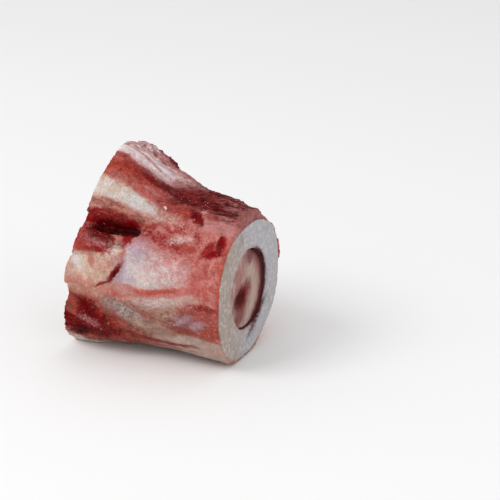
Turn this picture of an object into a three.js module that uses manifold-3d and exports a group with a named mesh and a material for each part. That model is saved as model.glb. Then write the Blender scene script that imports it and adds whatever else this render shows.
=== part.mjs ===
// Frozen beef marrow bone: a short sawn length of leg bone lying on its side, with its marrow, the tissue
// that wraps it, and the strips of lean, sinew and fat left on it.
import * as THREE from "three";
import { mergeVertices } from "three/addons/utils/BufferGeometryUtils.js";
import Module from "manifold-3d";

const wasm = await Module();
wasm.setup();

// Frame: +X looks out of the sawn face with the narrow end, -Y is the show side, the bone lies on z = 0.
// A place on the outside is given by its distance from the sawn face and its angle round the bone:
// 0 degrees faces -Y, 90 the top, 180 the back and -90 the underside.

// Driving dimensions, in millimetres and degrees
const LENGTH = 61.4; // between the two saw cuts, along the underside
const FACE_X = LENGTH / 2; // plane of the sawn face
const FAR_CUT_LEAN = 11.5; // the far cut leans, so that the top is shorter
const FACE_HALF_HEIGHT = 25.4;
const FACE_HALF_WIDTH = 25.8;
const HALF_HEIGHT_SPREAD = 6.9; // the bone widens towards the joint end
const HALF_WIDTH_SPREAD = 4.8;
const SQUARENESS = 2.2; // exponent of the section: 2 is an ellipse, more is squarer
const UNROLL_RADIUS = 28; // turns an angle round the bone into millimetres of its surface
const GAP = 0.3; // between pieces that touch
const SKIN = 1.2; // thinnest wrapping tissue
const RELIEF = 0.35; // unevenness of the wrapping tissue
const EDGE_WAVER = 0.1; // share by which the edges of the laid-on pieces wander
const EDGE_WAVES = 15; // radians of that wandering from end to end
const MARROW_RADIUS = 14.4; // at the sawn face
const MARROW_RADIUS_FAR = 18;
const MARROW_CENTRE = { y: -0.7, z: 24.6 };
const MARROW_RISE = 7.4; // the canal follows the middle of the widening bone
const CANAL_STRAIGHT = 6; // length of canal behind the sawn face that doesn't widen
const OVERRUN = 3; // lofts start and end this far outside the saw cuts, which then trim them

// Counts of steps
const WRAP_SIDES = 68;
const WRAP_STEPS = 18;
const BONE_SIDES = 44;
const BONE_STEPS = 12;
const MARROW_SIDES = 36;
const MARROW_STEPS = 5;
const MARROW_FACE_RINGS = 7;
const PATCH_SIDES = 10;
const PATCH_STEPS = 12;

// Swellings and hollows of the wrapped bone: place, reach along and round the bone, and height
const SWELLS = {
  heel: { u: 60, angle: -62, reach: [18, 20], height: 2.6 },
  underside: { u: 31, angle: -90, reach: [70, 17], height: 1 },
  underWaist: { u: 26, angle: -62, reach: [18, 24], height: -0.7 },
  faceHeel: { u: 0, angle: -58, reach: [30, 20], height: 1.4 },
  faceBackTop: { u: 0, angle: 122, reach: [22, 20], height: -1.6 },
  faceFront: { u: 4, angle: -20, reach: [20, 24], height: 0.8 },
  heelCorner: { u: 62, angle: -36, reach: [9, 15], height: -1.5 },
  farUnderside: { u: 62, angle: -78, reach: [22, 18], height: 1 },
  farFrontHollow: { u: 62, angle: 48, reach: [17, 26], height: -4 },
  farFrontSide: { u: 58, angle: 20, reach: [12, 14], height: -1.6 },
  saddle: { u: 28, angle: 112, reach: [8, 20], height: 2.6 },
  crest: { u: 45, angle: 82, reach: [9, 22], height: 3.4 },
  waist: { u: 20, angle: 8, reach: [16, 40], height: -1 },
  back: { u: 58, angle: 176, reach: [26, 50], height: 0.7 },
  backUnderside: { u: 10, angle: -125, reach: [30, 24], height: -1.8 },
  topMuscle: { u: 20, angle: 84, reach: [14, 30], height: 1.6 },
  pocketDish: { u: 43, angle: 35, reach: [9, 9], height: -2.2 },
  heelNotch: { u: 58, angle: -22, reach: [6, 7], height: -2.2 },
};

// Where the wrapping tissue is thicker than a skin
const PADDING = {
  underside: { u: 31, angle: -90, reach: [70, 26], height: 1.8 },
  top: { u: 20, angle: 84, reach: [60, 30], height: 3 },
  farTop: { u: 50, angle: 78, reach: [20, 40], height: 2.6 },
  farFront: { u: 52, angle: 5, reach: [18, 44], height: 3 },
  pocketBed: { u: 39, angle: 36, reach: [11, 16], height: 4 },
  farHeel: { u: 52, angle: -45, reach: [20, 30], height: 2.4 },
  farBack: { u: 56, angle: 175, reach: [26, 70], height: 3 },
};

// Pieces laid on the wrapping tissue. Each follows a spine of stations: distance from the sawn face, angle,
// half width, height above the tissue round it. sink is how deep it is set in. ridges are seeded waves in its
// upper side: how many would go round the bone, how fast they drift along it, and how high they are.
const PATCHES = {
  muscle_strip: {
    stations: [
      [-4, 93, 11.5, 1],
      [8, 91, 11, 1.3],
      [18, 92, 9, 1.6],
      [27, 98, 6, 1.3],
      [34, 103, 2, 0.6],
    ],
    sink: 1.8,
    ridges: { seed: 3, turns: 27, along: 0.1, height: 0.35 },
    finish: { color: 0x6b2026, roughness: 0.5 },
  },
  sinew_band: {
    stations: [
      [58, 86, 5.5, 1.8],
      [48, 89, 6, 2.3],
      [39, 95, 5.2, 2.1],
      [30, 106, 4, 1.4],
      [22, 117, 1.6, 0.6],
    ],
    sink: 1.2,
    ridges: { seed: 5, turns: 24, along: 0.08, height: 0.25 },
    finish: { color: 0xd9bdbd, roughness: 0.4 },
  },
  torn_flap: {
    stations: [
      [52, 105, 2.4, 1.4],
      [46, 109, 3.4, 3.2],
      [39, 117, 3.4, 3.3],
      [32, 126, 1.8, 1],
    ],
    sink: 1.2,
    ridges: { seed: 7, turns: 15, along: 0.5, height: 0.5 },
    finish: { color: 0x5a1f22, roughness: 0.6 },
  },
  lean_band: {
    stations: [
      [60, 72, 5, 0.7],
      [48, 72, 5.2, 0.8],
      [38, 75, 4.6, 0.8],
      [29, 77, 4, 0.7],
      [20, 77, 1.5, 0.4],
    ],
    sink: 1.4,
    ridges: { seed: 9, turns: 21, along: 0.1, height: 0.25 },
    finish: { color: 0x96443c, roughness: 0.5 },
  },
  upper_fat_strip: {
    stations: [
      [62, 57, 4.4, 1],
      [49, 57.5, 5, 1.2],
      [40, 57, 4.2, 1.2],
      [33, 56, 3, 1],
      [26, 56, 1, 0.5],
    ],
    sink: 1.4,
    ridges: { seed: 11, turns: 15, along: 0.2, height: 0.25 },
    finish: { color: 0xdcbfa0, roughness: 0.45 },
  },
  pocket_lip: {
    stations: [
      [54, 44.5, 2.6, 0.5],
      [48, 45, 3, 1.1],
      [40, 46, 2.8, 1.3],
      [31, 48.5, 1.6, 0.6],
    ],
    sink: 1.6,
    ridges: { seed: 13, turns: 12, along: 0.5, height: 0.3 },
    finish: { color: 0x74181b, roughness: 0.45 },
  },
  pocket_flesh: {
    stations: [
      [60, 15, 3, 0.2],
      [51, 18, 4, 0.8],
      [45, 21, 4, 1.3],
      [39, 27, 1.8, 0.6],
    ],
    sink: 1.4,
    ridges: { seed: 15, turns: 15, along: 0.5, height: 0.35 },
    finish: { color: 0x9c5354, roughness: 0.5 },
  },
  lower_fat_pad: {
    stations: [
      [64, -4, 4.8, 1.5],
      [51, -1.5, 5.2, 1.7],
      [44.5, 3, 5.6, 1.7],
      [40, 11, 4.6, 1.4],
      [35.5, 25, 2.2, 0.8],
    ],
    sink: 1.4,
    ridges: { seed: 17, turns: 12, along: 0.4, height: 0.3 },
    finish: { color: 0xd6b493, roughness: 0.45 },
  },
  corner_meat: {
    stations: [
      [66, -42, 8, 0.6],
      [52, -42, 8.4, 1.6],
      [45, -43, 6.6, 1.5],
      [39, -47, 4.6, 1],
      [31, -52, 1.6, 0.5],
    ],
    sink: 1.6,
    ridges: { seed: 19, turns: 18, along: 0.5, height: 0.45 },
    finish: { color: 0x571c1f, roughness: 0.55 },
  },
  lower_tissue_strip: {
    stations: [
      [48, -19, 2.4, 0.5],
      [40, -19, 5, 0.9],
      [30, -19, 5.4, 0.9],
      [20, -17, 4, 0.7],
      [11, -15, 1.4, 0.4],
    ],
    sink: 1,
    ridges: { seed: 21, turns: 24, along: 0.1, height: 0.25 },
    finish: { color: 0xa98b80, roughness: 0.5 },
  },
  back_lean_strip: {
    stations: [
      [-4, 166, 6, 0.7],
      [14, 168, 7.5, 1],
      [30, 166, 8.5, 1.1],
      [45, 163, 9, 1.1],
      [66, 160, 9, 1],
    ],
    sink: 1,
    ridges: { seed: 23, turns: 27, along: 0.1, height: 0.35 },
    finish: { color: 0x8a3634, roughness: 0.5 },
  },
  back_fat_strip: {
    stations: [
      [66, -152, 5.6, 0.9],
      [50, -150, 6.4, 1.2],
      [36, -153, 5.6, 1.2],
      [22, -160, 3.6, 0.9],
      [12, -164, 1.4, 0.5],
    ],
    sink: 1,
    ridges: { seed: 25, turns: 15, along: 0.2, height: 0.3 },
    finish: { color: 0xd9bb9b, roughness: 0.45 },
  },
};

// A narrow slit under the pocket's lip, with its floor in the tissue
const SLIT = {
  stations: [
    [47, 32, 1.2],
    [42, 34.5, 1.7],
    [37, 37.5, 1.8],
    [31, 41, 1.1],
  ],
  depth: 5,
  rise: 6,
};

// The marrow's sawn end: it has shrunk back from the wall on the +Y side, and a vessel has left a pit in it
const SHRINK = { front: 0.4, back: 0.9 };
const PIT = { y: -5.8, z: 22.8, radius: [4.4, 3], depth: 1.9 };
const MARROW_DOME = { y: -3.5, z: 32, radius: [5, 6], height: 0.6 };
const MARROW_EDGE = { width: 1.6, drop: 0.8 };

const FINISHES = {
  bone: { color: 0xcfc9c4, roughness: 0.5 },
  marrow: { color: 0xcbb3a8, roughness: 0.35 },
  wrap: { color: 0xc08a86, roughness: 0.4 },
};

const radians = THREE.MathUtils.degToRad;
const smooth = THREE.MathUtils.smoothstep;
const anglesRound = (sides) => Array.from({ length: sides }, (_, side) => (2 * Math.PI * side) / sides);
const MARROW_ANGLES = anglesRound(MARROW_SIDES);

// Unevenness: a sum of seeded waves that closes on itself round the bone
const WAVES = 6;

function seededRandom(seed) {
  let state = seed * 2654435761;
  return () => {
    state = (Math.imul(state ^ (state >>> 15), 2246822519) + 374761393) >>> 0;
    return state / 2 ** 32;
  };
}

function unevenness(seed, turns, perMillimetre) {
  const random = seededRandom(seed);
  const waves = Array.from({ length: WAVES }, () => ({
    turns: Math.round(turns * (0.4 + random())),
    slope: perMillimetre * (2 * random() - 1),
    phase: 2 * Math.PI * random(),
  }));
  const wave = (w, u, angle) => Math.sin(w.turns * angle + w.slope * u + w.phase);
  return (u, angle) => waves.reduce((sum, w) => sum + wave(w, u, angle), 0) / WAVES;
}

// The outside of the wrapped bone
function swellAt(swells, u, angle) {
  return Object.values(swells).reduce((sum, swell) => {
    const turn = Math.atan2(Math.sin(angle - radians(swell.angle)), Math.cos(angle - radians(swell.angle)));
    const along = (u - swell.u) / swell.reach[0];
    const round = turn / radians(swell.reach[1]);
    return sum + swell.height * Math.exp(-along * along - round * round);
  }, 0);
}

const halfHeightAt = (u) => FACE_HALF_HEIGHT + smooth(u, 0, 12) + HALF_HEIGHT_SPREAD * smooth(u, 20, 52);

const halfWidthAt = (u) => FACE_HALF_WIDTH + HALF_WIDTH_SPREAD * (Math.max(u, 0) / LENGTH) ** 1.4;

function outerRadius(u, angle) {
  const across = Math.abs(Math.cos(angle) / halfWidthAt(u)) ** SQUARENESS;
  const upright = Math.abs(Math.sin(angle) / halfHeightAt(u)) ** SQUARENESS;
  return (across + upright) ** (-1 / SQUARENESS) + swellAt(SWELLS, u, angle);
}

const wrapThickness = (u, angle) => SKIN + swellAt(PADDING, u, angle);

// A point at a distance from the bone's middle line
function place(u, angle, radius) {
  return new THREE.Vector3(FACE_X - u, -radius * Math.cos(angle), halfHeightAt(u) + radius * Math.sin(angle));
}

// Solids
function solidOf(geometry) {
  const bare = new THREE.BufferGeometry();
  bare.setAttribute("position", geometry.getAttribute("position"));
  if (geometry.index) bare.setIndex(geometry.index);
  const merged = mergeVertices(bare, 1e-4);
  return new wasm.Manifold(
    new wasm.Mesh({
      numProp: 3,
      vertProperties: merged.getAttribute("position").array,
      triVerts: new Uint32Array(merged.index.array),
    }),
  );
}

// A closed solid through rings of equal count, each end closed to the middle of its ring
function loft(rings) {
  const sides = rings[0].length;
  const middle = (ring) => ring.reduce((sum, p) => sum.add(p), new THREE.Vector3()).divideScalar(sides);
  const points = [...rings.flat(), middle(rings[0]), middle(rings.at(-1))];
  const first = points.length - 2;
  const last = points.length - 1;
  const lastRing = (rings.length - 1) * sides;
  const faces = [];
  for (let side = 0; side < sides; side++) {
    const next = (side + 1) % sides;
    faces.push(first, next, side, last, lastRing + side, lastRing + next);
    for (let start = 0; start < lastRing; start += sides) {
      faces.push(start + side, start + next, start + sides + next);
      faces.push(start + side, start + sides + next, start + sides + side);
    }
  }
  const geometry = new THREE.BufferGeometry().setFromPoints(points);
  geometry.setIndex(faces);
  const solid = solidOf(geometry);
  if (solid.volume() > 0) return solid;
  geometry.setIndex(faces.reverse());
  return solidOf(geometry);
}

// Rings round the bone from just before the sawn face to past the far cut
function shell(sides, steps, radiusAt) {
  const angles = anglesRound(sides);
  return loft(
    Array.from({ length: steps + 1 }, (_, step) => {
      const u = THREE.MathUtils.lerp(-OVERRUN, LENGTH + OVERRUN, step / steps);
      return angles.map((angle) => place(u, angle, radiusAt(u, angle)));
    }),
  );
}

// The space between the saw cuts and above the surface that the bone lies on
function sawnSpace() {
  const reach = 90;
  const lean = Math.tan(radians(FAR_CUT_LEAN));
  const side = new THREE.Shape();
  side.moveTo(FACE_X, 0);
  side.lineTo(FACE_X, reach);
  side.lineTo(FACE_X - LENGTH + lean * reach, reach);
  side.lineTo(FACE_X - LENGTH, 0);
  const block = new THREE.ExtrudeGeometry(side, { depth: 2 * reach, bevelEnabled: false });
  block.rotateX(Math.PI / 2);
  block.translate(0, reach, 0);
  return solidOf(block);
}

const largestBody = (solid) => solid.decompose().sort((a, b) => b.volume() - a.volume())[0];

// Laid-on pieces
function spineOf(stations) {
  const toPoint = ([u, angle]) => new THREE.Vector3(u, radians(angle) * UNROLL_RADIUS, 0);
  return new THREE.CatmullRomCurve3(stations.map(toPoint));
}

// The value of one column of the stations at a share of the way along them
function stationValue(stations, column, share) {
  const position = share * (stations.length - 1);
  const start = Math.min(Math.floor(position), stations.length - 2);
  const blend = smooth(position - start, 0, 1);
  return THREE.MathUtils.lerp(stations[start][column], stations[start + 1][column], blend);
}

// Rings of a band along its spine: its upper half stands above the surface and its lower half is set in it
function bandRings(stations, grow, heights) {
  const spine = spineOf(stations);
  const roundEnds = (share) => Math.sqrt(Math.max(1 - (2 * share - 1) ** 6, 0.02));
  return Array.from({ length: PATCH_STEPS + 1 }, (_, step) => {
    const share = step / PATCH_STEPS;
    const middle = spine.getPoint(share);
    const along = spine.getTangent(share);
    middle.addScaledVector(along, grow * (2 * share - 1));
    const end = roundEnds(share);
    const waver = 1 + EDGE_WAVER * Math.sin(EDGE_WAVES * share + stations[0][1]);
    const halfWidth = stationValue(stations, 2, share) * end * waver + grow;
    const [rise, sink] = heights(share, end);
    return Array.from({ length: PATCH_SIDES }, (_, side) => {
      const turn = (2 * Math.PI * (side + 0.5)) / PATCH_SIDES;
      const offset = halfWidth * Math.cos(turn);
      const u = middle.x - along.y * offset;
      const angle = (middle.y + along.x * offset) / UNROLL_RADIUS;
      const bulge = Math.sin(turn) > 0 ? rise(u, angle) * Math.sin(turn) : sink * Math.sin(turn);
      return place(u, angle, outerRadius(u, angle) + bulge);
    });
  });
}

function patch({ stations, sink, ridges }, grow = 0) {
  const ridgeAt = unevenness(ridges.seed, ridges.turns, ridges.along);
  return loft(
    bandRings(stations, grow, (share, end) => {
      const height = stationValue(stations, 3, share) * end;
      return [(u, angle) => height + ridges.height * end * ridgeAt(u, angle) + grow, sink * end + grow];
    }),
  );
}

function slit({ stations, depth, rise }) {
  return loft(bandRings(stations, 0, (share, end) => [() => rise, depth * end]));
}

// The marrow canal and the marrow in it: straight behind the sawn face, then widening
function canalRadius(u, angle) {
  const widened = THREE.MathUtils.lerp(MARROW_RADIUS, MARROW_RADIUS_FAR, smooth(u, 12, 56));
  return widened * (1 + 0.025 * Math.sin(2 * angle + 0.6) + 0.015 * Math.sin(5 * angle + u / 9));
}

function canalPoint(u, angle, radius) {
  const y = MARROW_CENTRE.y - radius * Math.cos(angle);
  const z = MARROW_CENTRE.z + MARROW_RISE * smooth(u, 14, 54) + radius * Math.sin(angle);
  return new THREE.Vector3(FACE_X - u, y, z);
}

function canalRings(grow) {
  return Array.from({ length: MARROW_STEPS + 1 }, (_, step) => {
    const u = THREE.MathUtils.lerp(CANAL_STRAIGHT, LENGTH + OVERRUN, step / MARROW_STEPS);
    return MARROW_ANGLES.map((angle) => canalPoint(u, angle, canalRadius(u, angle) + grow));
  });
}

function canal(grow) {
  const rings = canalRings(grow);
  const mouth = rings[0].map((point) => point.clone().setX(FACE_X + OVERRUN));
  return loft([mouth, ...rings]);
}

function marrowDepth(y, z, edgeDistance) {
  const mound = ({ y: my, z: mz, radius }) =>
    Math.exp(-(((y - my) / radius[0]) ** 2) - ((z - mz) / radius[1]) ** 2);
  const shrunk = THREE.MathUtils.lerp(SHRINK.front, SHRINK.back, smooth(y, -8, 13));
  const edge = MARROW_EDGE.drop * Math.exp(-edgeDistance / MARROW_EDGE.width);
  return shrunk + edge + PIT.depth * mound(PIT) - MARROW_DOME.height * mound(MARROW_DOME);
}

function marrow() {
  const faceRing = (share) =>
    MARROW_ANGLES.map((angle) => {
      const wall = canalRadius(CANAL_STRAIGHT, angle);
      const point = canalPoint(0, angle, wall * share);
      return point.setX(FACE_X - marrowDepth(point.y, point.z, wall * (1 - share)));
    });
  const shares = Array.from({ length: MARROW_FACE_RINGS }, (_, ring) => (ring + 1) / MARROW_FACE_RINGS);
  return loft([...shares.map(faceRing), ...canalRings(0)]);
}

// Assembly
function makeMesh(name, solid, finish) {
  const { vertProperties, triVerts, numProp } = solid.getMesh();
  const interleaved = new THREE.InterleavedBuffer(vertProperties, numProp);
  const geometry = new THREE.BufferGeometry();
  geometry.setAttribute("position", new THREE.InterleavedBufferAttribute(interleaved, 3, 0));
  geometry.setIndex(new THREE.BufferAttribute(triVerts, 1));
  const mesh = new THREE.Mesh(geometry, new THREE.MeshStandardMaterial({ metalness: 0, ...finish }));
  mesh.name = name;
  return mesh;
}

function makeBone() {
  const between = sawnSpace();
  const reliefAt = unevenness(1, 9, 0.3);
  const outside = (u, angle) => outerRadius(u, angle) + RELIEF * reliefAt(u, angle);
  const underWrap = (u, angle) => outerRadius(u, angle) - wrapThickness(u, angle);
  const names = Object.keys(PATCHES);
  const grown = names.map((name) => patch(PATCHES[name], GAP));
  const hollow = slit(SLIT);

  const group = new THREE.Group();
  names.forEach((name, index) => {
    const raw = grown.slice(0, index).reduce((solid, other) => solid.subtract(other), patch(PATCHES[name]));
    const piece = largestBody(raw.subtract(hollow).intersect(between));
    group.add(makeMesh(name, piece, PATCHES[name].finish));
  });

  const wrapping = shell(WRAP_SIDES, WRAP_STEPS, outside).subtract(shell(BONE_SIDES, BONE_STEPS, underWrap));
  const fitted = grown.reduce((solid, piece) => solid.subtract(piece), wrapping).subtract(hollow);
  group.add(makeMesh("wrapping_tissue", largestBody(fitted.intersect(between)), FINISHES.wrap));

  const boneOutside = shell(BONE_SIDES, BONE_STEPS, (u, angle) => underWrap(u, angle) - GAP);
  group.add(makeMesh("bone_wall", boneOutside.subtract(canal(GAP)).intersect(between), FINISHES.bone));
  group.add(makeMesh("marrow", marrow().intersect(between), FINISHES.marrow));
  return group;
}

export default makeBone();
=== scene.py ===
"""Looks of a frozen beef marrow bone: sawn bone, marrow, membrane, lean, sinew, fat and frost."""

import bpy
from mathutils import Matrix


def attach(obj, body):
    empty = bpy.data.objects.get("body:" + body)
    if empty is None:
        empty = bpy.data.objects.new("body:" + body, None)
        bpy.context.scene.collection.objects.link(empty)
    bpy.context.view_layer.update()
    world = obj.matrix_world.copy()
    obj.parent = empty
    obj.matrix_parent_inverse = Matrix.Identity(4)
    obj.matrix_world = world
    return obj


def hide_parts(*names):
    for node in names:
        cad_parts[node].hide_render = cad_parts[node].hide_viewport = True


bl_info = {
    "name": "Frozen marrow bone",
    "version": (1, 0, 0),
    "blender": (4, 5, 0),
    "location": "3D View > Sidebar > Marrow bone",
    "description": "Builds a sawn marrow bone with its marrow, membrane, lean, sinew, fat and frost",
    "category": "Add Mesh",
}

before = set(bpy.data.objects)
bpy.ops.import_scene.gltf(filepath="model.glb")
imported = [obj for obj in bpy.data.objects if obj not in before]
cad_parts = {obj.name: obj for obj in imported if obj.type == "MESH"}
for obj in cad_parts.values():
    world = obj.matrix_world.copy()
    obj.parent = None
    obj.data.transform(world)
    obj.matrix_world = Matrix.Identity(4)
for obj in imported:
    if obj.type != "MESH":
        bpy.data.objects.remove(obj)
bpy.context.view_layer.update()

import math
import random
from collections import namedtuple

import bpy
from bpy.props import FloatProperty, FloatVectorProperty, PointerProperty
from bpy.types import Operator, Panel, PropertyGroup
from mathutils import Matrix, Vector
from mathutils.bvhtree import BVHTree

MM = 0.001

# The bone's own measures, in millimetres. A place on it is given by its distance from the sawn face and its
# angle round the bone in degrees: 0 faces the camera's side, 90 is the top, 180 the back, -90 the underside.
LENGTH = 61.4
FACE_X = LENGTH / 2
FAR_CUT_LEAN = math.radians(11.5)
FACE_HALF_HEIGHT = 25.4
HEEL_RISE = {"start": 0, "end": 12, "height": 1}
JOINT_RISE = {"start": 20, "end": 52, "height": 6.9}
UNROLL_RADIUS = 28  # turns an angle round the bone into millimetres of its surface
SEAM_TURN = math.radians(45)  # from the back to where the angles start again, on the back's low side
OUTER_RADIUS = 60  # further out than any tissue
CANAL = {"y": -0.7, "z": 24.6}
PIT = {"y": -5.8, "z": 22.8}
FAR_RIM = {"y": 26.5, "z": 30.5, "middle": 32}  # the bone at the far cut: half sizes, and its middle's height
SINEW_TURN = {"low": 20, "high": 29, "per_mm": math.radians(1)}  # over the top, fibres wind round the bone

# In metres
OUTSIDE = 0.021  # further than this from the canal's middle line, a point is on the bone's outside
SCRAP_FORWARD = 0.0001  # a scrap's sawn end stands this far before the wrapping's
SCRAP_FAR_TRIM = 0.0001
BONE_FAR_TRIM = 0.0002
CLEAR_OF_SAW = -0.001  # the marrow's end has shrunk since it was sawn, so the saw passes it by
FLAT_UNDERSIDE = 0.00002
AIM_HEIGHT = 0.03
FLOOR_SIZE = 8
MERGE = 1e-6

# Distances from the canal's middle line, in millimetres, over which the sawn face changes colour. The gap
# between the marrow and the wall opens toward +Y.
TOWARD_GAP = (0, 7)
PINK_TOWARD_CANAL = (15.2, 18)
# Painted shade: over CANAL_LIP and CANAL_WALL the face and the canal's wall turn dark where they look into
# the gap
CANAL_LIP = (15.8, 16.7)
CANAL_WALL = (18.5, 19.5)
# Painted shade: past UNDER_TISSUE the bone's outside, hidden under the tissue, is painted nearly black
UNDER_TISSUE = (19.5, 21)
# Painted shade: over the gap band the marrow's rim takes the canal's dark, as the shade of the gap
MARROW_EDGE = {"dark": (10.2, 13.6), "gap": (13.2, 15), "rim": (13.9, 14.8)}

# Distances from the sawn face, in millimetres, over which the relief of the fibres fades in, and out again
# toward the far cut
FIBRES_START = (0.6, 3)
FIBRES_END = (LENGTH - 5, LENGTH - 14)

SMOOTHING = {"scrap": 4, "bone": 6, "marrow": 8, "wrapping": 10}  # passes over each kind of piece
SMOOTH_ANGLE = math.radians(52)
FROST_SMOOTH_ANGLE = math.radians(20)


def linear(code):
    """The linear colour of a screen colour written as six hex digits."""
    parts = [int(code[i:i + 2], 16) / 255 for i in (0, 2, 4)]
    return tuple(v / 12.92 if v <= 0.04045 else ((v + 0.055) / 1.055) ** 2.4 for v in parts)


def length(name, description, default):
    return FloatProperty(
        name=name, description=description, default=default, min=0, unit="LENGTH", precision=5
    )


def colour(name, description, code):
    return FloatVectorProperty(
        name=name, description=description, subtype="COLOR", size=3, min=0, max=1, default=linear(code)
    )


def camera_angle(name, description, degrees):
    return FloatProperty(name=name, description=description, default=math.radians(degrees), subtype="ANGLE")


def light_power(name, description, default):
    return FloatProperty(name=name, description=description, default=default, min=0, unit="POWER")


class BoneSizes(PropertyGroup):
    """Sizes of the fine surface."""

    wrap_grid: length("Wrap grid", "Size of the faces of the tissue wrapped round the bone", 0.00055)
    scrap_grid: length("Scrap grid", "Size of the faces of the laid-on scraps", 0.00034)
    bone_grid: length("Bone grid", "Size of the faces of the bone", 0.0006)
    marrow_grid: length("Marrow grid", "Size of the faces of the marrow", 0.00045)
    swell: length("Swell", "How far a scrap grows to meet the tissue round it", 0.00036)
    bed_swell: length("Bed swell", "How far the tissue under a scrap rises to close its bed", 0.0002)
    bone_swell: length("Bone swell", "How far the bone grows to meet the tissue round it", 0.0007)
    wrap_setback: length("Wrap set back", "From the bone's sawn face to the soft tissue's", 0.0003)
    saw_trim: length("Saw trim", "What the saw takes off the bone's rounded rim", 0.00012)
    frost_size: length("Frost size", "Radius of a usual grain of frost", 0.00017)


class BoneColours(PropertyGroup):
    """Colours of the tissues."""

    membrane_white: colour("Membrane white", "Palest membrane over the bone", "cfc0bd")
    membrane_lilac: colour("Membrane lilac", "Bluish membrane beside the fat", "ad9aac")
    membrane_rose: colour("Membrane rose", "Rosy thin membrane", "bd807d")
    membrane_cream: colour("Membrane cream", "Cream fibres in the membrane", "b8998a")
    flesh_pink: colour("Flesh pink", "Pale frosted flesh", "c58078")
    flesh_rose: colour("Flesh rose", "Flesh beside the sawn face", "ae524b")
    flesh_red: colour("Flesh red", "Raw red flesh", "962c29")
    flesh_orange: colour("Flesh orange", "Orange-red flesh along the saw cut", "b54c3b")
    flesh_brown: colour("Flesh brown", "Brownish flesh low on the side", "84443a")
    blood: colour("Blood", "Deep red of a bleeding spot", "86090c")
    blood_dark: colour("Dark blood", "Dark red of a deep spot", "4e0507")
    # Painted shade and dark blood: nearly black red, painted in the pocket's slit and on the bone hidden
    # under the tissue as their shade; it also darkens the middle of the marrow's pit and a spot in the corner
    # meat
    black_blood_and_shade: colour("Black blood", "Nearly black red inside the pocket", "2a0407")
    lean_dark: colour("Lean dark", "Dark lean between the fibres", "5a1113")
    lean_mid: colour("Lean mid", "Middle red of the lean", "87282a")
    lean_brown: colour("Lean brown", "Red-brown lean", "ae4639")
    lean_pale: colour("Lean pale", "Frosted fibres of the lean", "ab6866")
    sinew_white: colour("Sinew white", "Pearly white of the sinew", "ead9da")
    sinew_rose: colour("Sinew rose", "Rose between the strands of the sinew", "c07f7d")
    fat_white: colour("Fat white", "Whitest fat", "d6cbc7")
    fat_cream: colour("Fat cream", "Cream fat", "cbb09e")
    fat_salmon: colour("Fat salmon", "Salmon tint at the fat's edges", "c0806f")
    bruise: colour("Bruise", "Bluish rose of a bruised spot", "a37077")
    tan: colour("Tan", "Tan tissue low on the side", "98705f")
    grey: colour("Grey", "Grey fibrous tissue", "86706a")
    bare: colour("Bare", "Bare bone low by the sawn face", "aa958c")
    bone_cool: colour("Bone cool", "Cool white of the sawn bone", "aba9ae")
    bone_warm: colour("Bone warm", "Warmer sawn bone beside the flesh", "a2938a")
    bone_pore: colour("Bone pore", "Pores in the sawn bone", "6d5c5a")
    # Painted shade: this dark red is painted on the canal's lip and wall, and on the marrow's rim, where they
    # look into the gap; it also colours the crumbs and spots on the face
    canal: colour("Canal", "Dark wall of the canal beside the marrow", "4a1a1c")
    marrow_cream: colour("Marrow cream", "Cream middle of the marrow", "b8a196")
    marrow_pink: colour("Marrow pink", "Pink marrow", "a26a66")
    marrow_dark: colour("Marrow dark", "Dark pink low in the marrow", "7a413f")
    frost: colour("Frost", "Frost and ice", "eee2e0")


class BoneStage(PropertyGroup):
    """Camera, floor and light."""

    azimuth: camera_angle("Azimuth", "Camera's turn from the side view", 26.5)
    elevation: camera_angle("Elevation", "Camera's height above the level", 20)
    distance: length("Distance", "From the camera to the middle of the bone", 0.52)
    aim_height: length("Aim height", "Height of the point that the camera faces", AIM_HEIGHT)
    lens: FloatProperty(
        name="Lens", description="Focal length of the camera", default=106.97, min=10, unit="CAMERA"
    )
    shift_x: FloatProperty(name="Shift X", description="Slides the picture sideways", default=0.16)
    shift_y: FloatProperty(name="Shift Y", description="Slides the picture up and down", default=0.019)
    key_power: light_power("Key light", "Soft light from the upper left", 7)
    fill_power: light_power("Fill light", "Soft light from the right", 1.6)
    sky: FloatProperty(name="Sky light", description="Even light from all round", default=0.75, min=0)
    floor: colour("Floor", "Pale floor", "f7f7f7")


# Fields of colour on the outside of the bone, from the lowest to the one on top. Each runs from one place to
# another, (distance from the sawn face, angle round the bone), and is twice its half width wide, in
# millimetres. dark and light are the two colours that its grain mixes, soft is how gently it ends, and ragged
# how much its edge is torn.
Field = namedtuple(
    "Field", "dark light grain start end half_width soft ragged strength", defaults=(0.35, 0.5, 1.0)
)

RAGGED_REACH = 1.8  # how far the noise moves the edge of a field whose ragged is 1, in shares of its size

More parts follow.
